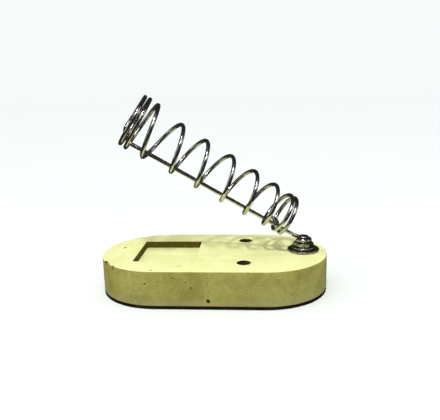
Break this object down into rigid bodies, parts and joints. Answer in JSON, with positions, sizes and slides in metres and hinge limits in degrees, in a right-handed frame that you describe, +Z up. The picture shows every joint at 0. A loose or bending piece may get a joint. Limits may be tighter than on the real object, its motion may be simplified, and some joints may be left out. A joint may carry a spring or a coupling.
{
  "type": "soldering iron stand",
  "caption": "Free-standing soldering iron holder: a round-ended cast base with a sponge tray and tip holes, and a flared coil of spring wire that swivels on a screw.",
  "frame": {"origin": "middle of the underside of the base", "axes": "+X along the base towards the screw that holds the wire, +Y away from the user, +Z up"},
  "size_m": [0.14, 0.076, 0.1202],
  "materials": {
    "cast_base": "matte",
    "black_rubber": "matte",
    "plated_steel": "satin",
    "plated_wire": "polished"
  },
  "bodies": {
    "base": {"base_block": "cast_base", "base_pad": "black_rubber", "clamp_screw": "plated_steel", "screw_washer": "plated_steel", "penny_washer": "plated_steel", "flat_washer": "plated_steel", "lock_nut": "plated_steel"},
    "holder": {"holder_arm": "plated_wire", "coil_mouth": "plated_wire", "coil_upper_turns": "plated_wire", "coil_lower_turns": "plated_wire", "coil_tail": "plated_wire"}
  },
  "joints": [
    {"name": "holder_swivel", "type": "hinge", "parent": "base", "child": "holder", "pos_m": [0.0559, 0.0025, 0.0299], "axis": [0, 0, 1], "continuous": true}
  ]
}
